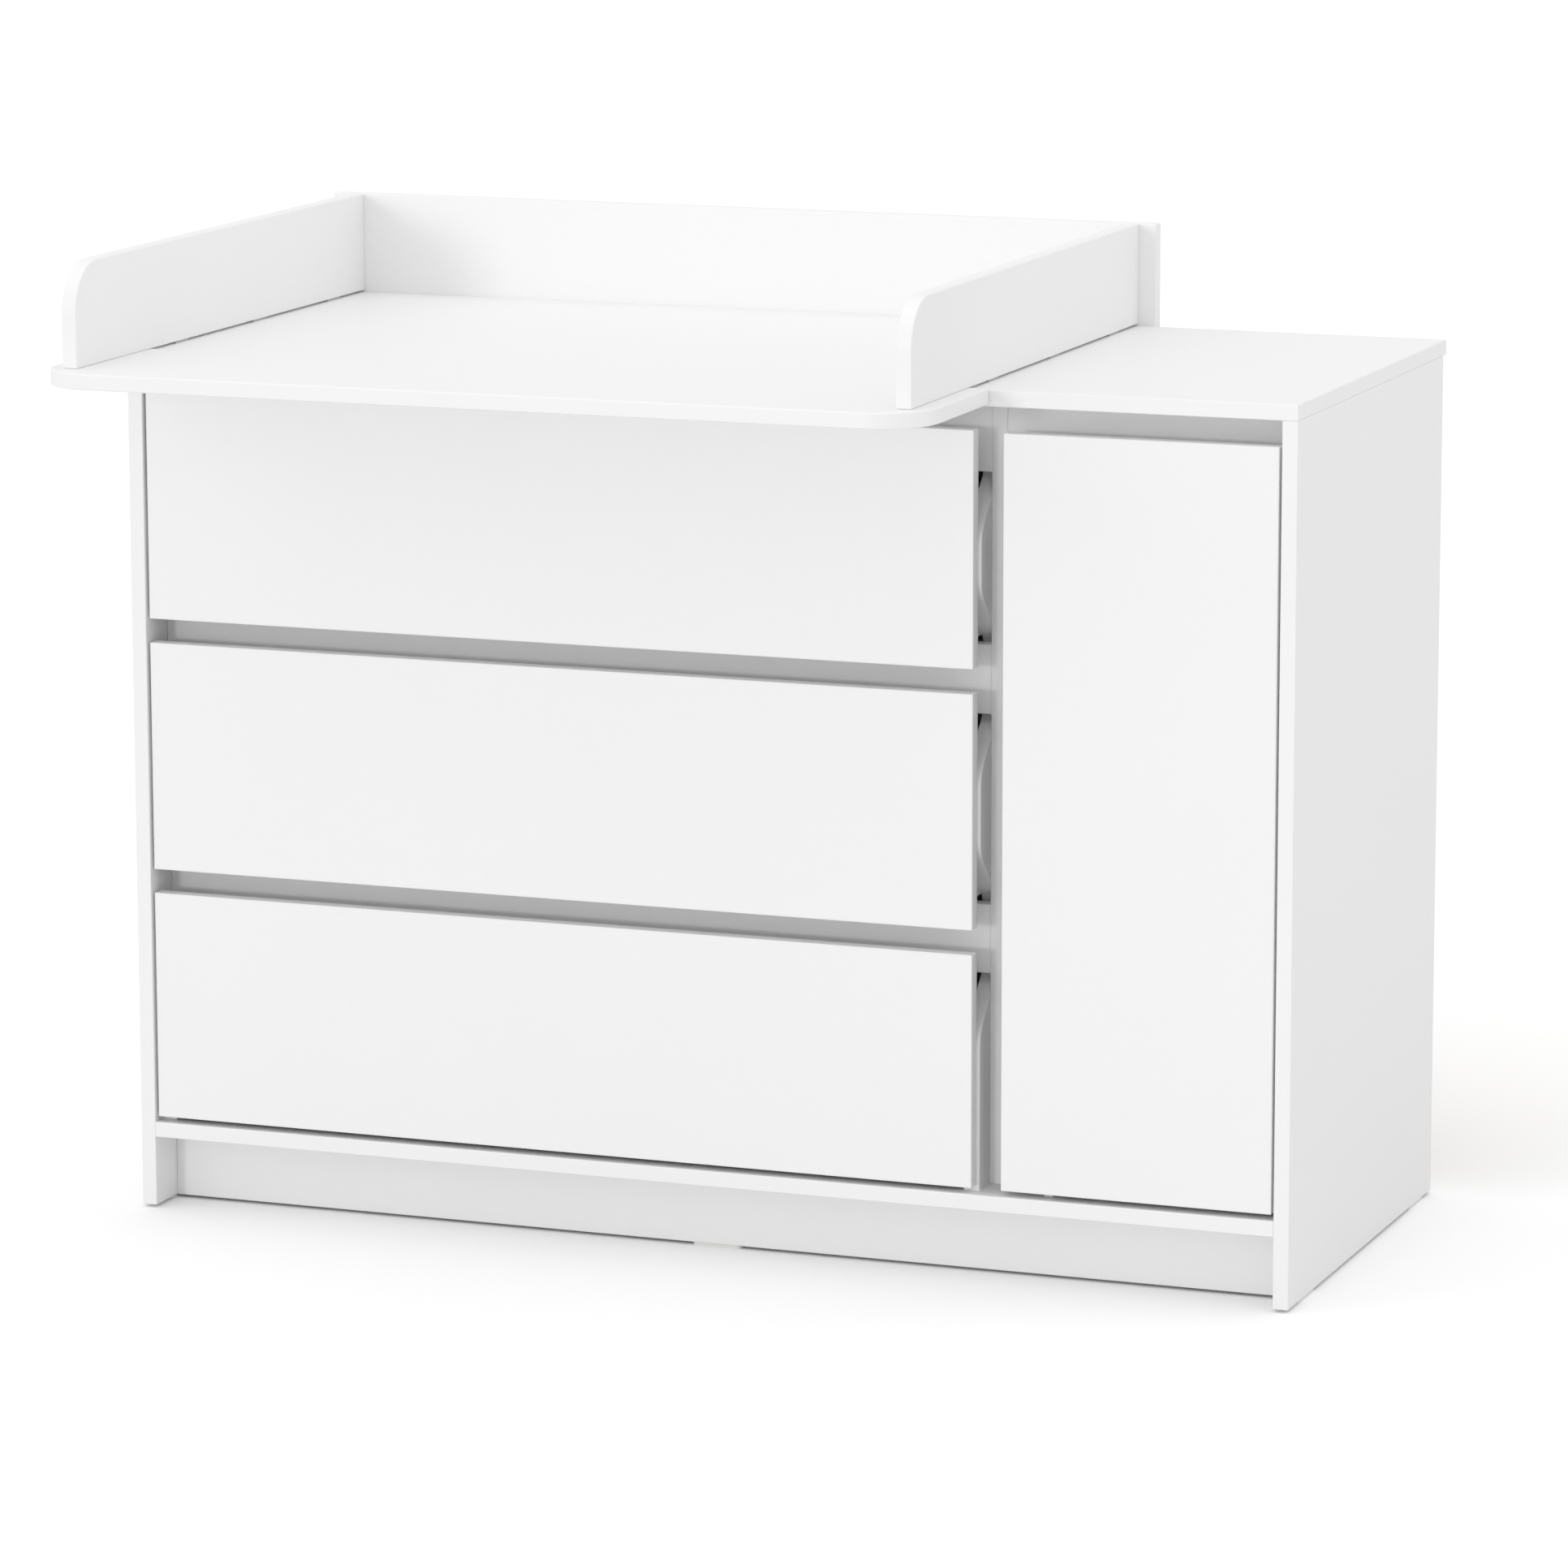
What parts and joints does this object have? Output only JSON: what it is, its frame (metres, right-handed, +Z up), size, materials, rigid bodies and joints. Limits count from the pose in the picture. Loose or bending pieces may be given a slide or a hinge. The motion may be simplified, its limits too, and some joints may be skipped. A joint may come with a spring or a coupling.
{
  "type": "changing table",
  "caption": "White dresser with drawers beside a hinged cupboard door and a screwed-on changing top with guard rails and a front shelf.",
  "frame": {"origin": "middle of the footprint of the whole object, on the floor", "axes": "+Z up, +Y towards the back, +X to the right seen from the front"},
  "size_m": [1.2496, 0.757, 1.007],
  "materials": {
    "white_laminate": "satin white melamine on chipboard",
    "white_hardboard": "white lacquered hardboard",
    "runner_steel": "white epoxy coat",
    "nickel_steel": "nickel plated",
    "zinc_steel": "zinc plated",
    "glide_plastic": "matt",
    "catch_plastic": "matt",
    "pad_felt": "felt"
  },
  "bodies": {
    "carcass": {"back_board_screws": "zinc_steel", "back_panel_cupboard": "white_hardboard", "back_panel_drawers": "white_hardboard", "back_panel_nails": "zinc_steel", "bottom_board": "white_laminate", "centre_partition": "white_laminate", "cupboard_shelf_lower": "white_laminate", "cupboard_shelf_upper": "white_laminate", "door_catch": "catch_plastic", "door_rail_top": "white_laminate", "drawer_rail_lower": "white_laminate", "drawer_rail_top": "white_laminate", "drawer_rail_upper": "white_laminate", "extension_plate": "white_laminate", "glides_front": "glide_plastic", "glides_rear": "glide_plastic", "guard_back_board": "white_laminate", "guard_pads": "pad_felt", "guard_rail_left": "white_laminate", "guard_rail_right": "white_laminate", "hinge_arms": "nickel_steel", "hinge_plates": "nickel_steel", "left_side_panel": "white_laminate", "liner_left": "white_laminate", "liner_right": "white_laminate", "lower_drawer_channels": "runner_steel", "middle_drawer_channels": "runner_steel", "plate_screws": "zinc_steel", "plinth_front": "white_laminate", "plinth_rear": "white_laminate", "right_side_panel": "white_laminate", "shelf_pins": "zinc_steel", "top_board": "white_laminate", "upper_drawer_channels": "runner_steel"},
    "door": {"door_panel": "white_laminate", "hinge_cups": "nickel_steel", "door_strike": "nickel_steel"},
    "hinge_knuckle": {"hinge_knuckles": "nickel_steel"},
    "lower_drawer": {"lower_drawer_front": "white_laminate", "lower_drawer_side_left": "white_laminate", "lower_drawer_side_right": "white_laminate", "lower_drawer_back": "white_laminate", "lower_drawer_bottom": "white_hardboard", "lower_drawer_runners": "runner_steel"},
    "middle_drawer": {"middle_drawer_front": "white_laminate", "middle_drawer_side_left": "white_laminate", "middle_drawer_side_right": "white_laminate", "middle_drawer_back": "white_laminate", "middle_drawer_bottom": "white_hardboard", "middle_drawer_runners": "runner_steel"},
    "upper_drawer": {"upper_drawer_front": "white_laminate", "upper_drawer_side_left": "white_laminate", "upper_drawer_side_right": "white_laminate", "upper_drawer_back": "white_laminate", "upper_drawer_bottom": "white_hardboard", "upper_drawer_runners": "runner_steel"}
  },
  "joints": [
    {"name": "lower_drawer_slide", "type": "slide", "parent": "carcass", "child": "lower_drawer", "axis": [0, -1, 0], "range_m": [0, 0.34]},
    {"name": "middle_drawer_slide", "type": "slide", "parent": "carcass", "child": "middle_drawer", "axis": [0, -1, 0], "range_m": [0, 0.34]},
    {"name": "upper_drawer_slide", "type": "slide", "parent": "carcass", "child": "upper_drawer", "axis": [0, -1, 0], "range_m": [0, 0.34]},
    {"name": "door_hinge", "type": "hinge", "parent": "carcass", "child": "door", "pos_m": [0.60555, -0.1692, 0.478], "axis": [0, 0, 1], "range_deg": [0, 95]},
    {"name": "hinge_knuckle_slide", "type": "slide", "parent": "carcass", "child": "hinge_knuckle", "axis": [0, -1, 0], "range_m": [0, 0.0345]}
  ],
  "couplings": [
    {"joint": "hinge_knuckle_slide", "follows": "door_hinge", "m_per_rad": 0.0205}
  ]
}
